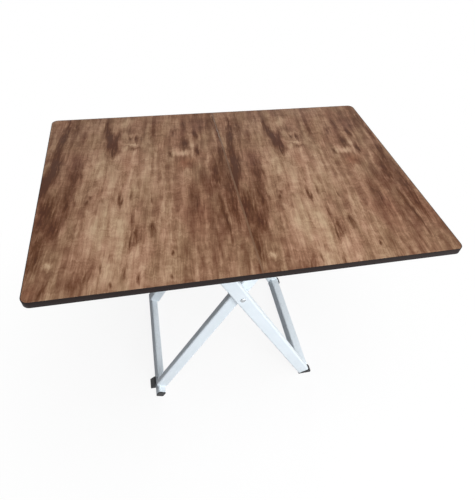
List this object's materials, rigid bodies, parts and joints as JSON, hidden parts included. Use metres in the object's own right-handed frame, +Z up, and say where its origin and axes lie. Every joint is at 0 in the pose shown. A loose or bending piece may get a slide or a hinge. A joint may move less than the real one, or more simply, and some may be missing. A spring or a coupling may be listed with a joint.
{
  "type": "folding table",
  "caption": "Rectangular folding table: two wood-print boards hinged at a middle seam on crossed white tube frames; lifting the seam folds it flat.",
  "frame": {"origin": "on the floor under the middle of the open top", "axes": "+X along the long side of the top, +Y from the front long side to the back one, +Z up"},
  "size_m": [0.9, 0.635, 0.73],
  "materials": {
    "wood_print": "printed melamine, aged brown wood grain, satin",
    "dark_band": "dark brown plastic edge band, matt",
    "white_enamel": "white powder coat on steel tube",
    "black_plastic": "moulded black plastic",
    "zinc_steel": "zinc plated steel"
  },
  "bodies": {
    "inner_frame": {"inner_bottom_bar": "white_enamel", "inner_leg_front": "white_enamel", "inner_leg_front_cap": "black_plastic", "inner_bottom_bar_cap_front": "black_plastic", "inner_foot_front": "black_plastic", "scissor_rivet_front": "zinc_steel", "scissor_washer_front": "black_plastic", "inner_leg_rear": "white_enamel", "inner_leg_rear_cap": "black_plastic", "inner_bottom_bar_cap_rear": "black_plastic", "inner_foot_rear": "black_plastic", "scissor_rivet_rear": "zinc_steel", "scissor_washer_rear": "black_plastic"},
    "outer_frame": {"outer_bottom_bar": "white_enamel", "outer_leg_front": "white_enamel", "outer_leg_front_cap": "black_plastic", "outer_foot_front": "black_plastic", "left_pivot_stud_front": "zinc_steel", "outer_leg_rear": "white_enamel", "outer_leg_rear_cap": "black_plastic", "outer_foot_rear": "black_plastic", "left_pivot_stud_rear": "zinc_steel"},
    "right_leaf": {"right_board": "wood_print", "right_edge_band": "dark_band", "right_bracket_front": "white_enamel", "right_pivot_rivet_front": "zinc_steel", "right_bracket_rear": "white_enamel", "right_pivot_rivet_rear": "zinc_steel", "seam_hinge_front_right": "zinc_steel", "seam_hinge_middle_right": "zinc_steel", "seam_hinge_rear_right": "zinc_steel"},
    "left_leaf": {"left_board": "wood_print", "left_edge_band": "dark_band", "left_bracket_front": "white_enamel", "left_pivot_bolt_front": "zinc_steel", "left_bracket_rear": "white_enamel", "left_pivot_bolt_rear": "zinc_steel", "seam_hinge_front_left": "zinc_steel", "seam_hinge_front_pin": "zinc_steel", "seam_hinge_middle_left": "zinc_steel", "seam_hinge_middle_pin": "zinc_steel", "seam_hinge_rear_left": "zinc_steel", "seam_hinge_rear_pin": "zinc_steel"}
  },
  "joints": [
    {"name": "scissor_fold", "type": "hinge", "parent": "inner_frame", "child": "outer_frame", "pos_m": [0, 0, 0.486], "axis": [0, 1, 0], "range_deg": [0, 50.4]},
    {"name": "right_leaf_turn", "type": "hinge", "parent": "inner_frame", "child": "right_leaf", "pos_m": [0.10789, 0, 0.69063], "axis": [0, 1, 0], "range_deg": [0, 99.1]},
    {"name": "seam_turn", "type": "hinge", "parent": "right_leaf", "child": "left_leaf", "pos_m": [0, 0, 0.711], "axis": [0, -1, 0], "range_deg": [0, 147.7]}
  ],
  "couplings": [
    {"joint": "right_leaf_turn", "follows": "scissor_fold", "ratio": 1.9648},
    {"joint": "seam_turn", "follows": "scissor_fold", "ratio": 2.9296}
  ]
}
